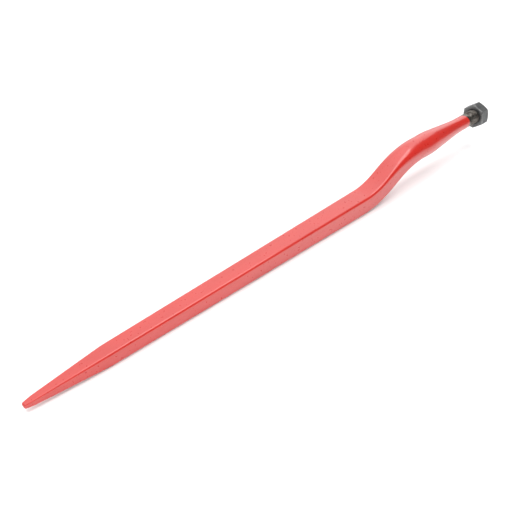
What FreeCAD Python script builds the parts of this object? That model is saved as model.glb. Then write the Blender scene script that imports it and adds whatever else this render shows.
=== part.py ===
import FreeCAD, Part
import os
import Sketcher

# Cranked loader tine (bale spear) with its hexagon nut, lying at rest.
# +X runs from the point to the threaded end, +Z is up, Z = 0 is the plane of
# the tine's underside. The origin is the bottom centre of the whole part.
#
# The tine is one forging: a blunt point, a long body of rounded square section
# whose underside is one flat plane, an S-bend in which the square turns round,
# a round shank that necks down on a slow cone, and a plain stud that carries
# the M22 x 1.5 thread. The nut is a hexagon nut, 34 mm across flats.

os.makedirs("parts", exist_ok=True)

doc = FreeCAD.newDocument("bale_spear")

# ---------------------------------------------------------------- dimensions
sheet = doc.addObject("Spreadsheet::Sheet", "Sizes")
SIZES = [
    ("total_length", 820.0),      # point to the free end of the stud
    ("tip_half", 2.35),           # half width of the blunt end face
    ("tip_edge", 1.2),            # rounded rim of the end face
    ("tip_edge_half", 3.02),
    ("nose_length", 12.0),        # first stretch, a little steeper
    ("nose_half", 4.33),
    ("point_length", 100.0),      # forged point
    ("point_half", 9.95),         # half width where the point begins
    ("point_blend", 6.0),         # softening either side of that change
    ("crank_start", 525.0),       # end of the straight body
    ("crank_half", 14.05),        # half width of the body there
    ("crank_lead", 36.0),         # straight sections that lead into the bend
    ("corner_share", 0.29),       # corner radius as a share of the half width
    ("corner_share_crank", 0.256),
    ("crank_angle", 31.8),        # steepest slope of the S-bend, degrees
    ("crank_radius_low", 98.0),   # centreline radius of the lower bend
    ("crank_radius_high", 116.0), # centreline radius of the upper bend
    ("crank_straight", 14.0),     # straight between the two bends
    ("crank_mid_half", 14.5),     # half width in the middle of the S-bend
    ("shank_start_radius", 17.2), # where the section has become round
    ("shank_radius", 17.47),      # largest radius of the round shank
    ("shank_round_length", 14.0), # from the bend to the largest radius
    ("cone_angle", 5.3),          # half angle of the conical seat, degrees
    ("cone_fillet_high", 215.0),  # radius into the cone
    ("cone_fillet_low", 300.0),   # radius out of the cone to the stud
    ("stud_radius", 10.95),       # outside of the M22 x 1.5 thread
    ("stud_chamfer", 1.6),
    ("nut_gap", 5.0),             # stud standing out past the nut
    ("nut_flats", 34.0),
    ("nut_thickness", 18.0),
    ("nut_bore_radius", 11.0),
    ("nut_sink_radius", 12.2),    # countersink at both faces
    ("nut_sink_depth", 0.8),
    ("nut_face_radius", 16.15),   # rim of the flat face, where the chamfer starts
    ("nut_chamfer_angle", 30.0),
    ("nut_turn", 48.8),           # how far the hexagon is turned from upright
]
for i, (alias, value) in enumerate(SIZES, start=1):
    sheet.set("A%d" % i, alias)
    sheet.set("B%d" % i, str(value))
    sheet.setAlias("B%d" % i, alias)
doc.recompute()
V = dict(SIZES)


def ref(text):
    """Turn bare size names into references to the sheet."""
    out = text
    for alias, _ in sorted(SIZES, key=lambda kv: -len(kv[0])):
        out = out.replace("<" + alias + ">", "Sizes." + alias)
    return out


import math

# Numbers worked out from the sizes, used only as first values in the sketches.
slope = (V["crank_half"] - V["point_half"]) / (V["crank_start"] - V["point_length"])
tau = math.degrees(math.atan(slope))

# The same relations as expressions.
SLOPE = "((<crank_half> - <point_half>) / (<crank_start> - <point_length>))"
TAU = "atan(" + SLOPE + ")"
BETA = "(<crank_angle> * 1 deg)"
X0 = "(-<total_length> / 2)"


def origin_plane(body, role):
    for feature in body.Origin.OriginFeatures:
        if feature.Role == role:
            return feature
    raise RuntimeError("no origin plane " + role)


def place_section(sketch, body, along, height, tilt):
    """Section plane across the tine: distance from the tip, height, slope."""
    sketch.AttachmentSupport = [(origin_plane(body, "YZ_Plane"), "")]
    sketch.MapMode = "FlatFace"
    sketch.AttachmentOffset = FreeCAD.Placement(
        FreeCAD.Vector(0, 0, 0),
        FreeCAD.Rotation(FreeCAD.Vector(-1, 0, 0), 10.0 if tilt else 0.0))
    sketch.setExpression("AttachmentOffset.Base.z", ref(X0 + " + " + along))
    sketch.setExpression("AttachmentOffset.Base.y", ref(height))
    if tilt:
        sketch.setExpression("AttachmentOffset.Rotation.Angle", ref(tilt))


def rounded_square(body, name, along, height, tilt, half, corner):
    """Square with equal corner radii, centred on the section's origin."""
    sk = body.newObject("Sketcher::SketchObject", name)
    place_section(sk, body, along, height, tilt)
    a, r = 10.0, 3.0
    c = a - r
    P = FreeCAD.Vector
    Z = P(0, 0, 1)

    def arc(cx, cy, start):
        s = math.radians(start)
        return Part.ArcOfCircle(Part.Circle(P(cx, cy, 0), Z, r), s, s + math.pi / 2)

    sk.addGeometry([
        Part.LineSegment(P(-c, -a, 0), P(c, -a, 0)),
        arc(c, -c, -90),
        Part.LineSegment(P(a, -c, 0), P(a, c, 0)),
        arc(c, c, 0),
        Part.LineSegment(P(c, a, 0), P(-c, a, 0)),
        arc(-c, c, 90),
        Part.LineSegment(P(-a, c, 0), P(-a, -c, 0)),
        arc(-c, -c, 180),
    ], False)
    C = Sketcher.Constraint
    cons = [C("Tangent", i, 2, (i + 1) % 8, 1) for i in range(8)]
    cons += [C("Horizontal", 0), C("Horizontal", 4), C("Vertical", 2), C("Vertical", 6)]
    cons += [C("Equal", 1, 3), C("Equal", 3, 5), C("Equal", 5, 7), C("Equal", 0, 2)]
    cons += [C("Symmetric", 1, 3, 5, 3, -1, 1)]
    sk.addConstraint(cons)
    nr = sk.addConstraint(C("Radius", 1, r))
    nw = sk.addConstraint(C("DistanceX", 5, 3, 1, 3, 2 * c))
    sk.renameConstraint(nr, "corner")
    sk.renameConstraint(nw, "spread")
    sk.setExpression("Constraints.corner", ref(corner))
    sk.setExpression("Constraints.spread", ref("2 * ((" + half + ") - (" + corner + "))"))
    return sk


def split_circle(body, name, along, height, radius, chord):
    """Circle drawn as eight arcs, so that it lofts edge for edge onto the
    rounded squares: four short arcs follow the flats, four long ones the
    corners."""
    sk = body.newObject("Sketcher::SketchObject", name)
    place_section(sk, body, along, height, None)
    r = 17.0
    h = math.degrees(math.asin(0.5 * chord / r))
    P = FreeCAD.Vector
    Z = P(0, 0, 1)
    cuts = []
    for quarter in range(4):
        mid = -90 + 90 * quarter
        cuts += [mid - h, mid + h]
    geo = []
    for i in range(8):
        s = math.radians(cuts[i])
        e = math.radians(cuts[(i + 1) % 8] + (360 if i == 7 else 0))
        geo.append(Part.ArcOfCircle(Part.Circle(P(0, 0, 0), Z, r), s, e))
    sk.addGeometry(geo, False)
    C = Sketcher.Constraint
    cons = [C("Coincident", i, 3, -1, 1) for i in range(7)]
    cons += [C("Coincident", i, 2, (i + 1) % 8, 1) for i in range(8)]
    cons += [C("Equal", 0, 7)]
    for i, axis in ((0, -2), (2, -1), (4, -2), (6, -1)):
        cons.append(C("Symmetric", i, 1, i, 2, axis))
    sk.addConstraint(cons)
    sk.addConstraint(C("DistanceX", 0, 1, 0, 2, chord))
    sk.addConstraint([C("DistanceY", 2, 1, 2, 2, chord), C("DistanceX", 4, 2, 4, 1, chord),
                      C("DistanceY", 6, 2, 6, 1, chord)])
    nr = sk.addConstraint(C("Radius", 0, r))
    sk.renameConstraint(nr, "radius")
    sk.setExpression("Constraints.radius", ref(radius))
    return sk


# --------------------------------------------------------------------- spear
spear = doc.addObject("PartDesign::Body", "spear")
spear.Label = "spear"

# Straight part: the blunt point and the tapering body. The body's sections
# stand on Z = 0; the point is drawn about the body's own centreline, so its
# underside rises towards the tip.
POINT_RATE = "((<point_half> - <nose_half>) / (<point_length> - <nose_length>))"


def centre(along):
    return "(<point_half> - " + SLOPE + " * (<point_length> - (" + along + ")))"


def body_half(along):
    return "(<point_half> + " + SLOPE + " * ((" + along + ") - <point_length>))"


straight = []


def station(name, along, half, share="<corner_share>"):
    straight.append(rounded_square(
        spear, name, along, centre(along), None, half, "(" + half + ") * " + share))


station("tip_face", "0", "<tip_half>", "0.55")
station("tip_rim", "<tip_edge>", "<tip_edge_half>", "0.42")
station("tip_nose", "4 * <tip_edge>", "<tip_edge_half> + 0.42")
station("nose_end", "<nose_length>", "<nose_half>")
station("point_before", "(<point_length> - <point_blend>)",
        "<point_half> - " + POINT_RATE + " * <point_blend>")
station("point_middle", "<point_length>",
        "<point_half> - (" + POINT_RATE + " - " + SLOPE + ") * <point_blend> / 4")
station("point_after", "(<point_length> + <point_blend>)",
        body_half("<point_length> + <point_blend>"))
LEAD = "(<crank_start> - <crank_lead>)"
station("body_end", LEAD, body_half(LEAD),
        "(<corner_share> + (<corner_share_crank> - <corner_share>) * (" + LEAD
        + " - <point_length>) / (<crank_start> - <point_length>))")

body_loft = spear.newObject("PartDesign::AdditiveLoft", "point_and_body")
body_loft.Profile = straight[0]
body_loft.Sections = straight[1:]
body_loft.Ruled = True
doc.recompute()

# S-bend. The centreline climbs on a lower arc, a short straight and an upper
# arc, and ends level. Along it the rounded square grows into a circle.
X1 = "<crank_start>"
Z1 = "<crank_half>"


def low_arc(t):
    ang = "(" + TAU + " + (" + BETA + " - " + TAU + ") * %s)" % t
    x = "(" + X1 + " + <crank_radius_low> * (sin(" + ang + ") - sin(" + TAU + ")))"
    z = "(" + Z1 + " + <crank_radius_low> * (cos(" + TAU + ") - cos(" + ang + ")))"
    return x, z, ang


X2, Z2, _ = low_arc("1")
X3 = "(" + X2 + " + <crank_straight> * cos(" + BETA + "))"
Z3 = "(" + Z2 + " + <crank_straight> * sin(" + BETA + "))"


def high_arc(t):
    ang = "(" + BETA + " * (1 - %s))" % t
    x = "(" + X3 + " + <crank_radius_high> * (sin(" + BETA + ") - sin(" + ang + ")))"
    z = "(" + Z3 + " + <crank_radius_high> * (cos(" + ang + ") - cos(" + BETA + ")))"
    return x, z, ang


X4, Z4, _ = high_arc("1")

# half width and corner share at each section of the bend
BEND = [
    ("bend_first", low_arc("0.1"), "<crank_half> + 0.01", "0.256"),
    ("bend_a", low_arc("0.25"), "<crank_half> + 0.02", "0.256"),
    ("bend_b", low_arc("0.5"), "<crank_half> + 0.08", "0.26"),
    ("bend_c", low_arc("0.78"), "<crank_mid_half> - 0.2", "0.275"),
    ("bend_d", (X2, Z2, BETA), "<crank_mid_half> - 0.03", "0.30"),
    ("bend_e", (X3, Z3, BETA), "<crank_mid_half> + 0.3", "0.37"),
    ("bend_f", high_arc("0.22"), "<crank_mid_half> + 0.72", "0.50"),
    ("bend_g", high_arc("0.45"), "<crank_mid_half> + 1.28", "0.66"),
    ("bend_h", high_arc("0.70"), "<shank_start_radius> - 0.72", "0.83"),
]
def lead(share):
    along = "(<crank_start> - <crank_lead> * %s)" % share
    half = body_half(along)
    corner = ("(<corner_share> + (<corner_share_crank> - <corner_share>) * (" + along
              + " - <point_length>) / (<crank_start> - <point_length>))")
    return along, half, "(" + half + ") * " + corner


along, half, corner = lead("1")
bend_first = rounded_square(spear, "lead_a", along, half, None, half, corner)
bend = []
for name, share in (("lead_b", "0.66"), ("lead_c", "0.36"), ("lead_d", "0.14")):
    along, half, corner = lead(share)
    bend.append(rounded_square(spear, name, along, half, None, half, corner))
bend.append(rounded_square(spear, "bend_start", X1, Z1, None, "<crank_half>",
                           "<crank_half> * <corner_share_crank>"))
for name, (x, z, ang), half, share in BEND:
    bend.append(rounded_square(spear, name, x, z, ang, half, "(" + half + ") * " + share))
bend.append(split_circle(spear, "bend_end", X4, Z4, "<shank_start_radius>", 4.0))

bend_loft = spear.newObject("PartDesign::AdditiveLoft", "s_bend")
bend_loft.Profile = bend_first
bend_loft.Sections = bend
bend_loft.Ruled = False
doc.recompute()

# Round shank, conical seat and stud, turned about the level axis.
shank_sketch = spear.newObject("Sketcher::SketchObject", "shank_profile")
shank_sketch.AttachmentSupport = [(origin_plane(spear, "XZ_Plane"), "")]
shank_sketch.MapMode = "FlatFace"
shank_sketch.setExpression("AttachmentOffset.Base.y", ref(Z4))
doc.recompute()

P = FreeCAD.Vector
x4 = float(str(shank_sketch.evalExpression(ref(X0 + " + " + X4))).split()[0])
z4 = float(str(shank_sketch.evalExpression(ref(Z4))).split()[0])

cone = math.radians(V["cone_angle"])
ra, rb = V["shank_start_radius"], V["shank_radius"]
xb = x4 + V["shank_round_length"]
rise = math.atan2(rb - ra, xb - x4)
RH, RL = V["cone_fillet_high"], V["cone_fillet_low"]
# arc into the cone: tangent to the rising line, then to the cone
ch = P(xb + RH * math.sin(rise), rb - RH * math.cos(rise), 0)
hx, hy = ch.x + RH * math.sin(cone), ch.y + RH * math.cos(cone)
# arc out of the cone, ending level on the stud
drop_low = RL * (1 - math.cos(cone))
ly = V["stud_radius"] + drop_low
lx = hx + (hy - ly) / math.tan(cone)
cl = P(lx + RL * math.sin(cone), V["stud_radius"] + RL, 0)
xe = V["total_length"] / 2
sc = V["stud_chamfer"]
Zup = P(0, 0, 1)
shank_sketch.addGeometry([
    Part.LineSegment(P(x4, 0, 0), P(x4, ra, 0)),                     # 0 joint with the bend
    Part.LineSegment(P(x4, ra, 0), P(xb, rb, 0)),                    # 1 swelling shank
    Part.ArcOfCircle(Part.Circle(ch, Zup, RH), math.pi / 2 - cone, math.pi / 2 + rise),  # 2
    Part.LineSegment(P(hx, hy, 0), P(lx, ly, 0)),                    # 3 conical seat
    Part.ArcOfCircle(Part.Circle(cl, Zup, RL), 1.5 * math.pi - cone, 1.5 * math.pi),     # 4
    Part.LineSegment(P(cl.x, V["stud_radius"], 0), P(xe - sc, V["stud_radius"], 0)),     # 5 stud
    Part.LineSegment(P(xe - sc, V["stud_radius"], 0), P(xe, V["stud_radius"] - sc, 0)),  # 6 chamfer
    Part.LineSegment(P(xe, V["stud_radius"] - sc, 0), P(xe, 0, 0)),  # 7 end
    Part.LineSegment(P(xe, 0, 0), P(x4, 0, 0)),                      # 8 axis
], False)
C = Sketcher.Constraint
shank_sketch.addConstraint([
    C("Coincident", 0, 2, 1, 1),
    C("Tangent", 1, 2, 2, 2),
    C("Tangent", 2, 1, 3, 1),
    C("Tangent", 3, 2, 4, 1),
    C("Tangent", 4, 2, 5, 1),
    C("Coincident", 5, 2, 6, 1),
    C("Coincident", 6, 2, 7, 1),
    C("Coincident", 7, 2, 8, 1),
    C("Coincident", 8, 2, 0, 1),
    C("Vertical", 0), C("Vertical", 7), C("Horizontal", 5), C("Horizontal", 8),
    C("PointOnObject", 8, 1, -1),
])


def bound(sk, constraint, name, text):
    n = sk.addConstraint(constraint)
    sk.renameConstraint(n, name)
    sk.setExpression("Constraints." + name, ref(text))


bound(shank_sketch, C("DistanceX", -1, 1, 0, 1, x4), "start", X0 + " + " + X4)
bound(shank_sketch, C("DistanceY", 0, 1, 0, 2, ra), "start_radius", "<shank_start_radius>")
bound(shank_sketch, C("DistanceX", 1, 1, 1, 2, xb - x4), "round_length", "<shank_round_length>")
bound(shank_sketch, C("DistanceY", 0, 1, 1, 2, rb), "round_radius", "<shank_radius>")
bound(shank_sketch, C("Radius", 2, RH), "fillet_high", "<cone_fillet_high>")
bound(shank_sketch, C("Radius", 4, RL), "fillet_low", "<cone_fillet_low>")
bound(shank_sketch, C("Angle", 3, -cone), "seat_angle", "-<cone_angle> * 1 deg")
bound(shank_sketch, C("DistanceY", 8, 1, 5, 2, V["stud_radius"]), "stud_size", "<stud_radius>")
bound(shank_sketch, C("DistanceX", -1, 1, 7, 1, xe), "far_end", "<total_length> / 2")
bound(shank_sketch, C("DistanceX", 6, 1, 6, 2, sc), "chamfer_run", "<stud_chamfer>")
bound(shank_sketch, C("DistanceY", 6, 2, 6, 1, sc), "chamfer_drop", "<stud_chamfer>")
doc.recompute()

shank = spear.newObject("PartDesign::Revolution", "shank_and_stud")
shank.Profile = shank_sketch
shank.ReferenceAxis = (shank_sketch, ["H_Axis"])
shank.Angle = 360.0
doc.recompute()
spear.Tip = shank

# ------------------------------------------------------------------- hex nut
nut = doc.addObject("PartDesign::Body", "hex_nut")
nut.Label = "hex_nut"
# The body's frame: its own +Z along the nut's axis, from the clamping face.
NUT_X = "(<total_length> / 2 - <nut_gap> - <nut_thickness>)"
nut.Placement = FreeCAD.Placement(P(0, 0, 0), FreeCAD.Rotation(P(0, 1, 0), 90))
nut.setExpression("Placement.Base.x", ref(NUT_X))
nut.setExpression("Placement.Base.z", ref(Z4))

hexagon = nut.newObject("Sketcher::SketchObject", "hexagon")
hexagon.AttachmentSupport = [(origin_plane(nut, "XY_Plane"), "")]
hexagon.MapMode = "FlatFace"
hexagon.AttachmentOffset = FreeCAD.Placement(P(0, 0, 0), FreeCAD.Rotation(P(0, 0, 1), 5.0))
hexagon.setExpression("AttachmentOffset.Rotation.Angle", ref("<nut_turn> * 1 deg"))
corner = V["nut_flats"] / math.sqrt(3)
pts = [P(corner * math.cos(math.radians(60 * i)), corner * math.sin(math.radians(60 * i)), 0)
       for i in range(6)]
hexagon.addGeometry([Part.LineSegment(pts[i], pts[(i + 1) % 6]) for i in range(6)], False)
guide = hexagon.addGeometry(Part.Circle(P(0, 0, 0), Zup, corner), True)
hexagon.addConstraint([C("Coincident", i, 2, (i + 1) % 6, 1) for i in range(6)])
hexagon.addConstraint([C("Coincident", guide, 3, -1, 1)])
hexagon.addConstraint([C("PointOnObject", i, 1, guide) for i in range(6)])
hexagon.addConstraint([C("Equal", i, i + 1) for i in range(5)])
hexagon.addConstraint([C("PointOnObject", 0, 1, -1)])
bound(hexagon, C("Radius", guide, corner), "corner_radius", "<nut_flats> / sqrt(3)")

prism = nut.newObject("PartDesign::Pad", "prism")
prism.Profile = hexagon
prism.setExpression("Length", ref("<nut_thickness>"))
doc.recompute()
prism_volume = prism.Shape.Volume

# Corner chamfers at both ends, one revolved cut each side.
chamfers = nut.newObject("Sketcher::SketchObject", "corner_chamfers")
chamfers.AttachmentSupport = [(origin_plane(nut, "XZ_Plane"), "")]
chamfers.MapMode = "FlatFace"
th = V["nut_thickness"]
fr = V["nut_face_radius"]
out = fr + 5.0
drop = 5.0 * math.tan(math.radians(V["nut_chamfer_angle"]))
chamfers.addGeometry([
    Part.LineSegment(P(fr, 0, 0), P(out, 0, 0)),
    Part.LineSegment(P(out, 0, 0), P(out, drop, 0)),
    Part.LineSegment(P(out, drop, 0), P(fr, 0, 0)),
    Part.LineSegment(P(fr, th, 0), P(out, th, 0)),
    Part.LineSegment(P(out, th, 0), P(out, th - drop, 0)),
    Part.LineSegment(P(out, th - drop, 0), P(fr, th, 0)),
], False)
for k in (0, 3):
    chamfers.addConstraint([
        C("Coincident", k, 2, k + 1, 1), C("Coincident", k + 1, 2, k + 2, 1),
        C("Coincident", k + 2, 2, k, 1), C("Horizontal", k), C("Vertical", k + 1),
    ])
chamfers.addConstraint([C("PointOnObject", 0, 1, -1)])
bound(chamfers, C("DistanceX", -1, 1, 0, 1, fr), "face_low", "<nut_face_radius>")
bound(chamfers, C("DistanceX", -1, 1, 3, 1, fr), "face_high", "<nut_face_radius>")
bound(chamfers, C("DistanceY", -1, 1, 3, 1, th), "height", "<nut_thickness>")
bound(chamfers, C("DistanceX", 0, 1, 0, 2, 5.0), "reach_low", "5")
bound(chamfers, C("DistanceX", 3, 1, 3, 2, 5.0), "reach_high", "5")
bound(chamfers, C("DistanceY", 1, 1, 1, 2, drop), "drop_low", "5 * tan(<nut_chamfer_angle> * 1 deg)")
bound(chamfers, C("DistanceY", 4, 2, 4, 1, drop), "drop_high", "5 * tan(<nut_chamfer_angle> * 1 deg)")
doc.recompute()
corner_cut = nut.newObject("PartDesign::Groove", "corner_cut")
corner_cut.Profile = chamfers
corner_cut.ReferenceAxis = (chamfers, ["V_Axis"])
corner_cut.Angle = 360.0
doc.recompute()
cut_volume = corner_cut.Shape.Volume

# Bore at the thread's outside diameter, with a countersink at each face.
bore_sketch = nut.newObject("Sketcher::SketchObject", "bore_profile")
bore_sketch.AttachmentSupport = [(origin_plane(nut, "XZ_Plane"), "")]
bore_sketch.MapMode = "FlatFace"
br, sr, sd = V["nut_bore_radius"], V["nut_sink_radius"], V["nut_sink_depth"]
loop = [P(0, 0, 0), P(sr, 0, 0), P(br, sd, 0), P(br, th - sd, 0), P(sr, th, 0), P(0, th, 0)]
bore_sketch.addGeometry([Part.LineSegment(loop[i], loop[(i + 1) % 6]) for i in range(6)], False)
bore_sketch.addConstraint([C("Coincident", i, 2, (i + 1) % 6, 1) for i in range(6)])
bore_sketch.addConstraint([
    C("Coincident", 0, 1, -1, 1), C("Horizontal", 0), C("Vertical", 2),
    C("Horizontal", 4), C("Vertical", 5), C("Equal", 0, 4),
])
bound(bore_sketch, C("DistanceX", 0, 1, 0, 2, sr), "sink_radius", "<nut_sink_radius>")
bound(bore_sketch, C("DistanceX", 0, 1, 1, 2, br), "bore_radius", "<nut_bore_radius>")
bound(bore_sketch, C("DistanceY", 0, 2, 1, 2, sd), "sink_low", "<nut_sink_depth>")
bound(bore_sketch, C("DistanceY", 2, 2, 3, 2, sd), "sink_high", "<nut_sink_depth>")
bound(bore_sketch, C("DistanceY", 5, 2, 5, 1, th), "bore_length", "<nut_thickness>")
doc.recompute()
bore = nut.newObject("PartDesign::Groove", "bore")
bore.Profile = bore_sketch
bore.ReferenceAxis = (bore_sketch, ["V_Axis"])
bore.Angle = 360.0
doc.recompute()
nut.Tip = bore
doc.recompute()

# --------------------------------------------------------------------- checks
if not cut_volume < prism_volume - 50.0:
    raise RuntimeError("corner chamfers cut nothing")
if not bore.Shape.Volume < cut_volume - 5000.0:
    raise RuntimeError("bore cut nothing")
for obj in doc.Objects:
    bad = [state for state in obj.State if state in ("Invalid", "Error")]
    if bad:
        raise RuntimeError("%s is %s" % (obj.Name, bad))
for node in (spear, nut):
    shape = node.Shape
    if shape.isNull() or not shape.isValid() or len(shape.Solids) != 1:
        raise RuntimeError("bad shape in " + node.Label)
    box = shape.BoundBox
    print(node.Label, "volume cm3 %.1f" % (shape.Volume / 1000.0),
          "X %.2f..%.2f Y %.2f..%.2f Z %.2f..%.2f" % (
              box.XMin, box.XMax, box.YMin, box.YMax, box.ZMin, box.ZMax))
print("shank axis height %.3f, bend ends at X %.3f, seat %.2f..%.2f" % (z4, x4, hx, lx))
for node in (spear, nut):
    node.Shape.exportStep("parts/%s.step" % node.Label)
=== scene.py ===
import math

import bpy
import numpy as np
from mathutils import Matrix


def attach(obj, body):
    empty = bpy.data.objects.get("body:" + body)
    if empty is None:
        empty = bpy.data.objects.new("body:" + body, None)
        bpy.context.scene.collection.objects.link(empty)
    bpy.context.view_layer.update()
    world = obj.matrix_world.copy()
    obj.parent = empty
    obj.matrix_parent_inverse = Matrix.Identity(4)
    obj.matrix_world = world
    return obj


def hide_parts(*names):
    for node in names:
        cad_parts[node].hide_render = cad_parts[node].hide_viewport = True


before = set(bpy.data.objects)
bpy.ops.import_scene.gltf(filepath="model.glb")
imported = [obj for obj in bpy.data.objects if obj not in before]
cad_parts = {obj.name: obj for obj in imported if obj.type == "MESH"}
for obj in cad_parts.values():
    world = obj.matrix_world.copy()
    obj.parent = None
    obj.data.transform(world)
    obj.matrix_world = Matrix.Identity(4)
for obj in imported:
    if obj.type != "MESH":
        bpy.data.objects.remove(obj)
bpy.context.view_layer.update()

# ---------------------------------------------------------------- camera
cam_data = bpy.data.cameras.new("camera")
cam_data.lens = 50.812
cam_data.sensor_width = 36.0
cam_data.clip_start, cam_data.clip_end = 0.02, 60.0
camera = bpy.data.objects.new("camera", cam_data)
bpy.context.scene.collection.objects.link(camera)
camera.rotation_mode = "QUATERNION"
camera.location = (-0.575327, -0.471027, 0.605352)
camera.rotation_quaternion = (0.8455085, 0.3816962, -0.1760599, -0.3292816)
bpy.context.scene.camera = camera

# ---------------------------------------------------------------- sizes, mm
# The point is at X = -410 and the stud's end at X = 410. The body's flat
# underside is Z = 0, and the tine is symmetric about Y = 0.
LENGTH = 820.0
X0 = -LENGTH / 2
POINT_L, POINT_H, NOSE_L, NOSE_H, BLEND = 100.0, 9.95, 12.0, 4.33, 6.0
CRANK_S, CRANK_H = 525.0, 14.05
SLOPE = (CRANK_H - POINT_H) / (CRANK_S - POINT_L)
RATE = (POINT_H - NOSE_H) / (POINT_L - NOSE_L)
TAU = math.atan(SLOPE)
BETA = math.radians(31.8)
R_LOW, R_HIGH, STRAIGHT = 98.0, 116.0, 14.0
STUD_R, PAINT_R = 10.95, 11.02
PITCH, NUT_X, NUT_T, NUT_AF = 1.5, 387.0, 18.0, 34.0

# distances along the centreline where the bends start and end
D1 = CRANK_S
D2 = D1 + R_LOW * (BETA - TAU)
D3 = D2 + STRAIGHT
D4 = D3 + R_HIGH * BETA


def spine(s):
    """x, z and slope of the centreline at distance s from the point."""
    s = np.asarray(s, float)
    x, z, a = s.copy(), POINT_H - SLOPE * (POINT_L - s), np.zeros_like(s)
    m = (s > D1) & (s <= D2)
    t = TAU + (s[m] - D1) / R_LOW
    x[m] = D1 + R_LOW * (np.sin(t) - math.sin(TAU))
    z[m] = CRANK_H + R_LOW * (math.cos(TAU) - np.cos(t))
    a[m] = t
    x2 = D1 + R_LOW * (math.sin(BETA) - math.sin(TAU))
    z2 = CRANK_H + R_LOW * (math.cos(TAU) - math.cos(BETA))
    m = (s > D2) & (s <= D3)
    x[m] = x2 + (s[m] - D2) * math.cos(BETA)
    z[m] = z2 + (s[m] - D2) * math.sin(BETA)
    a[m] = BETA
    x3, z3 = x2 + STRAIGHT * math.cos(BETA), z2 + STRAIGHT * math.sin(BETA)
    m = (s > D3) & (s <= D4)
    t = BETA - (s[m] - D3) / R_HIGH
    x[m] = x3 + R_HIGH * (math.sin(BETA) - np.sin(t))
    z[m] = z3 + R_HIGH * (np.cos(t) - math.cos(BETA))
    a[m] = t
    m = s > D4
    x[m] = x3 + R_HIGH * math.sin(BETA) + (s[m] - D4)
    z[m] = z3 + R_HIGH * (1 - math.cos(BETA))
    return x + X0, z, a


BEND_X, AXIS_Z = (float(v[0]) for v in spine(np.array([D4]))[:2])


def curve_through(xs, ys, x):
    """A smooth line through the points that never overshoots them."""
    xs, ys, x = (np.asarray(v, float) for v in (xs, ys, x))
    h, d = np.diff(xs), np.diff(ys) / np.diff(xs)
    m = np.zeros_like(ys)
    for i in range(1, len(xs) - 1):
        if d[i - 1] * d[i] > 0:
            w1, w2 = 2 * h[i] + h[i - 1], h[i] + 2 * h[i - 1]
            m[i] = (w1 + w2) / (w1 / d[i - 1] + w2 / d[i])
    m[0], m[-1] = d[0], d[-1]
    i = np.clip(np.searchsorted(xs, x) - 1, 0, len(xs) - 2)
    t = np.clip((x - xs[i]) / h[i], 0, 1)
    return (
        (1 + 2 * t) * (1 - t) ** 2 * ys[i]
        + t * (1 - t) ** 2 * h[i] * m[i]
        + t * t * (3 - 2 * t) * ys[i + 1]
        + t * t * (t - 1) * h[i] * m[i + 1]
    )


def shank_radius(x):
    """Outside radius of the round shank, its cone and the stud at X = x."""
    x = np.asarray(x, float)
    cone, ra, rb = math.radians(5.3), 17.2, 17.47
    xb = BEND_X + 14.0
    rise = math.atan2(rb - ra, xb - BEND_X)
    high, low = 215.0, 300.0
    cx, cy = xb + high * math.sin(rise), rb - high * math.cos(rise)
    hx, hy = cx + high * math.sin(cone), cy + high * math.cos(cone)
    ly = STUD_R + low * (1 - math.cos(cone))
    lx = hx + (hy - ly) / math.tan(cone)
    dx = lx + low * math.sin(cone)
    r = np.full_like(x, STUD_R)
    m = x <= xb
    r[m] = ra + (x[m] - BEND_X) * (rb - ra) / (xb - BEND_X)
    m = (x > xb) & (x <= hx)
    r[m] = cy + np.sqrt(high**2 - (x[m] - cx) ** 2)
    m = (x > hx) & (x <= lx)
    r[m] = hy - (x[m] - hx) * math.tan(cone)
    m = (x > lx) & (x <= dx)
    r[m] = STUD_R + low - np.sqrt(low**2 - (x[m] - dx) ** 2)
    return r


BEND_S = [D1, D1 + 0.25 * (D2 - D1), D1 + 0.5 * (D2 - D1), D1 + 0.78 * (D2 - D1), D2, D3,
          D3 + 0.22 * (D4 - D3), D3 + 0.45 * (D4 - D3), D3 + 0.70 * (D4 - D3), D4]
BEND_H = [14.05, 14.07, 14.13, 14.3, 14.47, 14.8, 15.22, 15.78, 16.48, 17.2]
SHARE_S = [0.0, 1.2, 4.8, NOSE_L, POINT_L, D1, D1 + 0.5 * (D2 - D1), D1 + 0.78 * (D2 - D1), D2, D3,
           D3 + 0.22 * (D4 - D3), D3 + 0.45 * (D4 - D3), D3 + 0.70 * (D4 - D3), D4, D4 + 400]
SHARE = [0.55, 0.42, 0.29, 0.29, 0.29, 0.256, 0.26, 0.275, 0.30, 0.37, 0.50, 0.66, 0.83, 1.0, 1.0]


def half_width(s):
    """Half the width of the section at distance s from the point."""
    s = np.asarray(s, float)
    a = np.interp(s, [0.0, 1.2, 4.8, NOSE_L], [2.35, 3.02, 3.44, NOSE_H])
    m = (s > NOSE_L) & (s <= POINT_L)
    a[m] = NOSE_H + RATE * (s[m] - NOSE_L)
    m = s > POINT_L
    a[m] = POINT_H + SLOPE * (s[m] - POINT_L)
    m = abs(s - POINT_L) < BLEND
    a[m] -= (RATE - SLOPE) * BLEND / 4 * (1 - abs(s[m] - POINT_L) / BLEND) ** 2
    m = (s > D1) & (s <= D4)
    a[m] = curve_through(BEND_S, BEND_H, s[m])
    m = s > D4
    a[m] = shank_radius(s[m] - D4 + BEND_X)
    return a


def section(share, n_flat=4, n_corner=16):
    """Polar angles of one ring: closer together round the four corners."""
    first = max(math.atan(1 - share), math.radians(18))
    q = np.concatenate([
        np.linspace(0, first, n_flat, endpoint=False),
        np.linspace(first, math.pi / 2 - first, n_corner, endpoint=False),
        np.linspace(math.pi / 2 - first, math.pi / 2, n_flat, endpoint=False),
    ])
    return np.concatenate([q + k * math.pi / 2 for k in range(4)])


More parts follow.
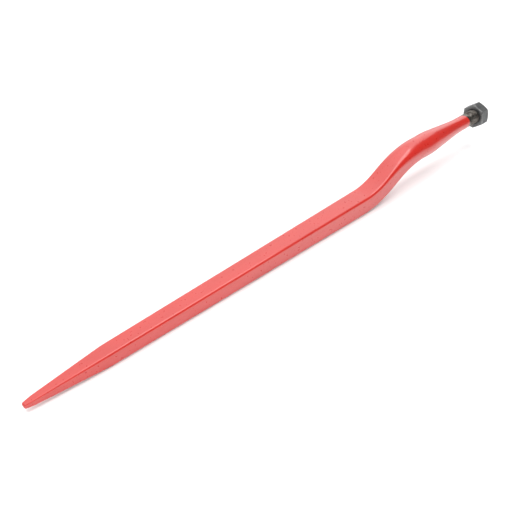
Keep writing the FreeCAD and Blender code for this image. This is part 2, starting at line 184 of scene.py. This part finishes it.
def radius_at(phi, a, share):
    """Polar radius of a square of half width a with rounded corners."""
    f = np.mod(phi, math.pi / 2)
    f = np.minimum(f, math.pi / 2 - f)
    k = np.clip(share, 1e-3, 1.0)
    c = a * (1 - k)
    arc = c * (np.cos(f) + np.sin(f)) + np.sqrt(
        np.maximum((k * a) ** 2 - (c * (np.cos(f) - np.sin(f))) ** 2, 0)
    )
    return np.where(np.tan(f) <= 1 - k, a / np.cos(f), arc)


def tube(name, rings, materials, caps=(True, True)):
    """A closed mesh from rings of points (n, m, 3) in mm, row frame."""
    n, m, _ = rings.shape
    points = rings.reshape(-1, 3)
    i, j = np.meshgrid(np.arange(n - 1), np.arange(m), indexing="ij")
    a = (i * m + j).ravel()
    b = (i * m + (j + 1) % m).ravel()
    faces = np.stack([a, a + m, b + m, b], axis=1).tolist()
    extra = []
    if caps[0]:
        extra.append(rings[0].mean(axis=0))
        c = n * m
        faces += [[j, (j + 1) % m, c] for j in range(m)]
    if caps[1]:
        extra.append(rings[-1].mean(axis=0))
        c = n * m + len(extra) - 1
        o = (n - 1) * m
        faces += [[o + (j + 1) % m, o + j, c] for j in range(m)]
    if extra:
        points = np.vstack([points, extra])
    mesh = bpy.data.meshes.new(name)
    mesh.from_pydata((points / 1000.0).tolist(), [], faces)
    mesh.validate()
    mesh.polygons.foreach_set("use_smooth", [True] * len(mesh.polygons))
    for mat in materials:
        mesh.materials.append(mat)
    obj = bpy.data.objects.new(name, mesh)
    bpy.context.scene.collection.objects.link(obj)
    return obj


# ---------------------------------------------------------------- materials
def new_material(name):
    mat = bpy.data.materials.new(name)
    mat.use_nodes = True
    nodes, links = mat.node_tree.nodes, mat.node_tree.links
    nodes.clear()
    out = nodes.new("ShaderNodeOutputMaterial")
    bsdf = nodes.new("ShaderNodeBsdfPrincipled")
    links.new(bsdf.outputs["BSDF"], out.inputs["Surface"])
    where = nodes.new("ShaderNodeTexCoord").outputs["Object"]
    return mat, nodes, links, bsdf, where


def stretched(nodes, links, where, scale):
    node = nodes.new("ShaderNodeMapping")
    node.inputs["Scale"].default_value = scale
    links.new(where, node.inputs["Vector"])
    return node.outputs["Vector"]


def noise(nodes, links, where, scale, detail=3.0, rough=0.5):
    node = nodes.new("ShaderNodeTexNoise")
    node.inputs["Scale"].default_value = scale
    node.inputs["Detail"].default_value = detail
    node.inputs["Roughness"].default_value = rough
    links.new(where, node.inputs["Vector"])
    return node.outputs["Fac"]


def ramp(nodes, links, value, stops):
    node = nodes.new("ShaderNodeValToRGB")
    while len(node.color_ramp.elements) < len(stops):
        node.color_ramp.elements.new(0.5)
    for e, (at, col) in zip(node.color_ramp.elements, stops):
        e.position = at
        e.color = (*col, 1.0) if len(col) == 3 else col
    links.new(value, node.inputs["Fac"])
    return node.outputs["Color"]


def to_range(nodes, links, value, lo, hi, a=0.3, b=0.7):
    node = nodes.new("ShaderNodeMapRange")
    node.inputs["From Min"].default_value = a
    node.inputs["From Max"].default_value = b
    node.inputs["To Min"].default_value = lo
    node.inputs["To Max"].default_value = hi
    links.new(value, node.inputs["Value"])
    return node.outputs["Result"]


def bump(nodes, links, height, distance, strength=1.0, under=None):
    node = nodes.new("ShaderNodeBump")
    node.inputs["Strength"].default_value = strength
    node.inputs["Distance"].default_value = distance
    links.new(height, node.inputs["Height"])
    if under is not None:
        links.new(under, node.inputs["Normal"])
    return node.outputs["Normal"]


def mix_colour(nodes, links, factor, a, b, blend="MIX"):
    node = nodes.new("ShaderNodeMix")
    node.data_type = "RGBA"
    node.blend_type = blend
    for sock, v in ((node.inputs[0], factor), (node.inputs[6], a), (node.inputs[7], b)):
        if hasattr(v, "is_linked"):
            links.new(v, sock)
        else:
            sock.default_value = v if not isinstance(v, tuple) or len(v) == 4 else (*v, 1.0)
    return node.outputs[2]


def red_paint():
    mat, nodes, links, bsdf, where = new_material("red_paint")
    # the coat is a little deeper where it lies thick and paler where it is thin
    patches = noise(nodes, links, stretched(nodes, links, where, (0.35, 1.0, 1.0)), 42.0, 4.0, 0.55)
    colour = ramp(nodes, links, patches, [
        (0.30, (0.395, 0.0135, 0.0080)),
        (0.50, (0.420, 0.0150, 0.0092)),
        (0.72, (0.440, 0.0175, 0.0110)),
    ])
    specks = noise(nodes, links, where, 1500.0, 2.0, 0.6)
    speck = ramp(nodes, links, specks, [(0.30, (0.97, 0.97, 0.97)), (0.62, (1.0, 1.0, 1.0)), (0.80, (1.05, 1.06, 1.06))])
    colour = mix_colour(nodes, links, 1.0, colour, speck, "MULTIPLY")
    links.new(colour, bsdf.inputs["Base Color"])
    haze = noise(nodes, links, where, 260.0, 3.0, 0.6)
    links.new(to_range(nodes, links, haze, 0.26, 0.40), bsdf.inputs["Roughness"])
    bsdf.inputs["IOR"].default_value = 1.55
    bsdf.inputs["Coat Weight"].default_value = 0.55
    bsdf.inputs["Coat Roughness"].default_value = 0.07
    bsdf.inputs["Coat IOR"].default_value = 1.5
    # forging dimples under the coat, then the coat's own orange peel
    dimples = bump(nodes, links, noise(nodes, links, where, 75.0, 2.0, 0.45), 0.00022, 0.5)
    peel = bump(nodes, links, noise(nodes, links, where, 620.0, 2.0, 0.5), 0.00004, 0.45, dimples)
    links.new(peel, bsdf.inputs["Normal"])
    coat = bump(nodes, links, noise(nodes, links, where, 75.0, 2.0, 0.45), 0.00016, 0.5)
    links.new(coat, bsdf.inputs["Coat Normal"])
    return mat


def bare_steel():
    mat, nodes, links, bsdf, where = new_material("bare_steel")
    bsdf.inputs["Metallic"].default_value = 0.92
    blotch = noise(nodes, links, where, 190.0, 4.0, 0.6)
    colour = ramp(nodes, links, blotch, [
        (0.30, (0.050, 0.043, 0.037)),
        (0.50, (0.110, 0.099, 0.088)),
        (0.70, (0.240, 0.226, 0.208)),
    ])
    rust = ramp(nodes, links, noise(nodes, links, where, 480.0, 3.0, 0.65), [(0.56, (0.0, 0.0, 0.0)), (0.74, (0.45, 0.45, 0.45))])
    colour = mix_colour(nodes, links, rust, colour, (0.11, 0.055, 0.028, 1.0))
    links.new(colour, bsdf.inputs["Base Color"])
    links.new(to_range(nodes, links, noise(nodes, links, where, 330.0, 3.0, 0.6), 0.24, 0.46), bsdf.inputs["Roughness"])
    rolled = bump(nodes, links, noise(nodes, links, stretched(nodes, links, where, (6.0, 1.0, 1.0)), 900.0, 3.0, 0.6), 0.00003, 0.6)
    links.new(rolled, bsdf.inputs["Normal"])
    return mat


def dark_steel():
    mat, nodes, links, bsdf, where = new_material("dark_steel")
    bsdf.inputs["Metallic"].default_value = 0.75
    cloud = noise(nodes, links, where, 130.0, 4.0, 0.55)
    colour = ramp(nodes, links, cloud, [
        (0.30, (0.074, 0.076, 0.078)),
        (0.52, (0.100, 0.102, 0.103)),
        (0.74, (0.145, 0.147, 0.147)),
    ])
    # the edges, touched by tools and other nuts, are a little brighter
    edge = nodes.new("ShaderNodeAttribute")
    edge.attribute_name = "edge"
    broken = nodes.new("ShaderNodeMath")
    broken.operation = "MULTIPLY"
    links.new(edge.outputs["Fac"], broken.inputs[0])
    links.new(to_range(nodes, links, noise(nodes, links, where, 420.0, 3.0, 0.6), 0.0, 0.75), broken.inputs[1])
    colour = mix_colour(nodes, links, broken.outputs[0], colour, (0.34, 0.34, 0.335, 1.0))
    links.new(colour, bsdf.inputs["Base Color"])
    links.new(to_range(nodes, links, noise(nodes, links, where, 260.0, 3.0, 0.6), 0.36, 0.52), bsdf.inputs["Roughness"])
    # drawn bar: fine lines along the flats, under the crystals of the coating
    drawn = bump(nodes, links, noise(nodes, links, stretched(nodes, links, where, (0.12, 1.0, 1.0)), 1900.0, 2.0, 0.6), 0.00004, 0.5)
    grain = bump(nodes, links, noise(nodes, links, where, 2600.0, 2.0, 0.6), 0.00003, 0.5, drawn)
    links.new(grain, bsdf.inputs["Normal"])
    return mat


def floor_finish():
    mat, nodes, links, bsdf, where = new_material("pale_floor")
    colour = ramp(nodes, links, noise(nodes, links, where, 3.0, 3.0, 0.5), [(0.3, (0.83, 0.83, 0.83)), (0.7, (0.86, 0.86, 0.86))])
    links.new(colour, bsdf.inputs["Base Color"])
    bsdf.inputs["Roughness"].default_value = 0.9
    bsdf.inputs["Specular IOR Level"].default_value = 0.1
    return mat


PAINT, STEEL, DARK = red_paint(), bare_steel(), dark_steel()

# ---------------------------------------------------------------- tine
# Where the paint stops: nearly square across the stud, with a brushed edge.
def paint_edge(psi):
    # degrees from +Z towards -Y, and where the paint stops there
    at = np.array([-60.0, -25.0, 0.0, 30.0, 60.0, 90.0, 130.0, 180.0, 230.0, 270.0, 300.0])
    x = np.array([357.0, 358.2, 360.4, 361.8, 362.3, 361.6, 360.5, 359.8, 359.0, 358.0, 357.0])
    turned = np.mod(np.degrees(psi) - 90.0 + 60.0, 360.0) - 60.0
    return np.interp(turned, at, x) + 0.16 * np.sin(5 * psi + 0.7) + 0.09 * np.sin(11 * psi + 2.1)


tip = np.array([0.0, 0.25, 0.6, 1.2, 1.9, 2.8, 3.8, 4.8, 6.0, 8.0, 10.0])
edge_s = D4 + (361.6 - BEND_X)
along = np.concatenate([
    tip,
    np.arange(12.0, 92.0, 2.0),
    np.arange(92.0, 108.0, 1.0),
    np.arange(108.0, 488.0, 4.0),
    np.arange(488.0, D1 - 1.0, 2.0),
    np.arange(D1 - 1.0, D4 + 30.0, 1.25),
    np.arange(D4 + 30.0, edge_s - 0.8, 1.5),
    [edge_s - 0.4, edge_s - 0.15, edge_s],
])
share = np.interp(along, SHARE_S, SHARE)
PHI = np.stack([section(k) for k in share])
half = half_width(along)
cx, cz, slope = spine(along)
# the end of the point is eased into a small flat
ease = np.interp(along, [0.0, 0.25, 0.6, 1.2], [0.80, 0.90, 0.965, 1.0])
R = radius_at(PHI, (half * ease)[:, None], share[:, None])
# slack left by the hammer: under a tenth of a millimetre, and always inwards
LEN = along[:, None]
wave = (
    np.sin(LEN / 23.0 + 2 * PHI + 0.4) + 0.7 * np.sin(LEN / 37.0 - 3 * PHI + 1.9)
    + 0.5 * np.sin(LEN / 11.0 + PHI + 3.0)
)
fade = np.interp(along, [0, 20, D1, D4, D4 + 60, edge_s - 10], [0, 1, 1, 1, 1, 0])[:, None]
R = R - (2.2 + wave) * 0.012 * fade
# the coat ends as a skin a little proud of the steel
skin = np.interp(along, [edge_s - 22.0, edge_s - 4.0, edge_s - 0.4, edge_s], [0, PAINT_R - STUD_R, PAINT_R - STUD_R, 0.03])
R = R + skin[:, None]
up, across = R * np.sin(PHI), R * np.cos(PHI)
tilt = np.where(along <= D1, 0.0, slope)[:, None]
rings = np.stack([
    cx[:, None] - up * np.sin(tilt),
    across,
    cz[:, None] + up * np.cos(tilt),
], axis=2)
# the last rings follow the paint's edge
pull = np.clip((along - (edge_s - 14.0)) / 14.0, 0, 1)[:, None]
rings[:, :, 0] += pull * (paint_edge(PHI) - 361.6)
# the skin's edge turns down to the steel and closes inside it
lip = rings[-1].copy()
lip[:, 1] *= 10.6 / np.hypot(lip[:, 1], lip[:, 2] - AXIS_Z)[0]
lip[:, 2] = AXIS_Z + (rings[-1][:, 2] - AXIS_Z) * 10.6 / np.hypot(rings[-1][:, 1], rings[-1][:, 2] - AXIS_Z)
lip[:, 1] = rings[-1][:, 1] * 10.6 / np.hypot(rings[-1][:, 1], rings[-1][:, 2] - AXIS_Z)
lip[:, 0] += 0.06
tine = tube("tine", np.concatenate([rings, lip[None]]), [PAINT])
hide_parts("spear")
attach(tine, "root")


# ---------------------------------------------------------------- thread
def groove(x, psi, lead_in=None):
    """Depth of the M22 x 1.5 thread's groove below the crest, mm."""
    u = np.mod(x / PITCH - psi / (2 * math.pi), 1.0)
    d = abs(u - 0.5) * PITCH
    depth = np.clip((0.66 - d) * 1.732, 0.0, 0.86)
    return depth


def smooth(x, a, b):
    t = np.clip((x - a) / (b - a), 0, 1)
    return t * t * (3 - 2 * t)


psi = np.linspace(0, 2 * math.pi, 112, endpoint=False)
xs = np.concatenate([[356.0, 359.0, 361.0, 362.5, 363.5, 364.2], np.arange(364.5, 410.001, 0.15), [410.0]])
XX, PP = np.meshgrid(xs, psi, indexing="ij")
runout = smooth(XX, 364.6, 367.4)
RR = STUD_R - 0.03 - groove(XX, PP) * runout
RR = np.minimum(RR, STUD_R - np.maximum(0, XX - 408.4))
rings = np.stack([XX, RR * np.cos(PP), AXIS_Z + RR * np.sin(PP)], axis=2)
# the end face is slightly dished by the centre drill
inner = []
for r_in, dx in ((9.1, 0.0), (5.5, 0.0), (3.1, 0.0), (2.6, -0.35), (0.9, -1.6)):
    inner.append(np.stack([np.full_like(psi, 410.0 + dx), r_in * np.cos(psi), AXIS_Z + r_in * np.sin(psi)], axis=1))
rings = np.concatenate([rings, np.stack(inner)])
stud = tube("stud", rings, [STEEL])
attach(stud, "root")

# ---------------------------------------------------------------- nut
HEX_TURN = math.radians(18.7)   # a corner's angle from +Y towards +Z
CORNER_R, FACE_R, SINK_R = 0.8, 16.15, 12.2
CHAMFER = math.tan(math.radians(30))


def hex_radius(local):
    """Polar radius of the hexagon; local is the angle from the nearest corner."""
    flat = NUT_AF / 2
    dc = (flat - CORNER_R) / math.cos(math.radians(30))
    start = math.radians(30) - math.atan((flat - CORNER_R) * math.tan(math.radians(30)) / flat)
    d = np.abs(local)
    rounded = dc * np.cos(d) + np.sqrt(np.maximum(CORNER_R**2 - (dc * np.sin(d)) ** 2, 0))
    return np.where(d < start, rounded, flat / np.cos(math.radians(30) - d))


def rounded_path(points, radii, n=4):
    """The polyline with each inner point replaced by a small arc."""
    out = [points[0]]
    for k in range(1, len(points) - 1):
        p, a, b = (np.array(v, float) for v in (points[k], points[k - 1], points[k + 1]))
        ua, ub = (a - p) / np.linalg.norm(a - p), (b - p) / np.linalg.norm(b - p)
        r = radii[k]
        for t in np.linspace(0, 1, n + 1):
            out.append(tuple(p + ua * r * (1 - t) ** 2 + ub * r * t**2))
    out.append(points[-1])
    return np.array(out)


near = np.radians([0.0, 0.35, 0.7, 1.0, 1.3, 1.8, 3.0, 5.0, 8.0, 12.0, 17.0, 22.0, 27.0])
local = np.concatenate([near, np.radians(60) - near[::-1][:-1] if False else np.radians(60) - near[::-1]])
local = local[:-1]
cols = np.concatenate([local + k * math.radians(60) for k in range(6)])
off = np.mod(cols + math.radians(30), math.radians(60)) - math.radians(30)
cols = cols + HEX_TURN
rh = hex_radius(off)
bore_x = np.arange(0.35, NUT_T - 0.34, 0.15)
columns, marks = [], []
for c, (angle, r) in enumerate(zip(cols, rh)):
    t = (r - FACE_R) * CHAMFER
    outside = rounded_path(
        [(0.0, 14.0), (0.0, FACE_R), (t, r), (NUT_T - t, r), (NUT_T, FACE_R), (NUT_T, 14.0)],
        [0, 0.28, 0.30, 0.30, 0.28, 0], 4,
    )
    n_out = len(outside)
    x_mid = np.linspace(outside[10][0], outside[11][0], 9)[1:-1]
    outside = np.vstack([outside[:11], np.c_[x_mid, np.full(7, r)], outside[11:]])
    back = rounded_path([(NUT_T, 14.0), (NUT_T, SINK_R), (NUT_T - 0.4, SINK_R - 0.6)], [0, 0.2, 0], 3)[1:]
    bx = bore_x[::-1]
    world_x = NUT_X + bx
    br = STUD_R + 0.05 - groove(world_x, np.full_like(bx, angle))
    br = np.maximum(br, np.maximum(SINK_R - 1.5 * bx, SINK_R - 1.5 * (NUT_T - bx)))
    inside = np.c_[bx, br]
    front = rounded_path([(0.4, SINK_R - 0.6), (0.0, SINK_R), (0.0, 14.0)], [0, 0.2, 0], 3)[:-1]
    path = np.vstack([outside, back[:-1], inside, front[1:]])
    mark = np.zeros(len(path))
    mark[1:6] = 0.5
    mark[6:11] = 1.0
    mark[18:23] = 1.0
    mark[23:28] = 0.5
    corner = math.exp(-((off[c] / math.radians(1.6)) ** 2))
    mark[8:21] = np.maximum(mark[8:21], corner)
    columns.append(np.c_[NUT_X + path[:, 0], path[:, 1] * math.cos(angle), AXIS_Z + path[:, 1] * math.sin(angle)])
    marks.append(mark)
loop = np.stack(columns)                     # (columns, path points, 3)
m, n, _ = loop.shape
i, j = np.meshgrid(np.arange(m), np.arange(n), indexing="ij")
a = (i * n + j).ravel()
b = (((i + 1) % m) * n + j).ravel()
c_ = (((i + 1) % m) * n + (j + 1) % n).ravel()
d_ = (i * n + (j + 1) % n).ravel()
nut_mesh = bpy.data.meshes.new("nut")
nut_mesh.from_pydata((loop.reshape(-1, 3) / 1000.0).tolist(), [], np.stack([a, d_, c_, b], axis=1).tolist())
nut_mesh.validate()
nut_mesh.polygons.foreach_set("use_smooth", [True] * len(nut_mesh.polygons))
nut_mesh.materials.append(DARK)
worn = nut_mesh.attributes.new("edge", "FLOAT", "POINT")
worn.data.foreach_set("value", np.concatenate(marks).astype(np.float32))
nut = bpy.data.objects.new("nut", nut_mesh)
bpy.context.scene.collection.objects.link(nut)
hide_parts("hex_nut")
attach(nut, "root")

for obj in (tine, stud, nut):
    # faces wind the same way round on every piece: outwards
    bpy.context.view_layer.objects.active = obj
    import bmesh
    bm = bmesh.new()
    bm.from_mesh(obj.data)
    bmesh.ops.recalc_face_normals(bm, faces=bm.faces)
    bm.to_mesh(obj.data)
    bm.free()

# ---------------------------------------------------------------- studio
floor_mesh = bpy.data.meshes.new("floor")
floor_mesh.from_pydata([(-8, -8, -0.0004), (8, -8, -0.0004), (8, 8, -0.0004), (-8, 8, -0.0004)], [], [(0, 1, 2, 3)])
floor_mesh.materials.append(floor_finish())
floor = bpy.data.objects.new("floor", floor_mesh)
bpy.context.scene.collection.objects.link(floor)

world = bpy.data.worlds.new("studio")
world.use_nodes = True
world.node_tree.nodes["Background"].inputs["Color"].default_value = (1.0, 1.0, 1.0, 1.0)
world.node_tree.nodes["Background"].inputs["Strength"].default_value = 0.15
bpy.context.scene.world = world


def softbox(name, at, aim, size, radiance, shiny=True):
    """A rectangular light; radiance is what a mirror would show."""
    from mathutils import Vector
    data = bpy.data.lights.new(name, "AREA")
    data.shape = "RECTANGLE"
    data.size, data.size_y = size
    data.energy = radiance * size[0] * size[1] * math.pi
    obj = bpy.data.objects.new(name, data)
    bpy.context.scene.collection.objects.link(obj)
    obj.location = at
    obj.rotation_mode = "QUATERNION"
    obj.rotation_quaternion = (Vector(aim) - Vector(at)).to_track_quat("-Z", "Y")
    obj.visible_camera = False
    obj.visible_glossy = shiny
    return obj


softbox("overhead", (-0.25, 0.0, 1.6), (-0.25, 0.0, 0.0), (2.4, 1.05), 4.2)
softbox("back", (1.3, 2.6, 2.6), (0.4, 0.0, 0.0), (8.6, 5.2), 1.7)
softbox("fill", (-1.2, -2.4, 1.2), (0.0, 0.0, 0.0), (3.0, 1.8), 5.0, shiny=False)

view = bpy.context.scene.view_settings
view.view_transform = "Standard"
view.look = "None"
view.exposure = 0.0
view.gamma = 1.0
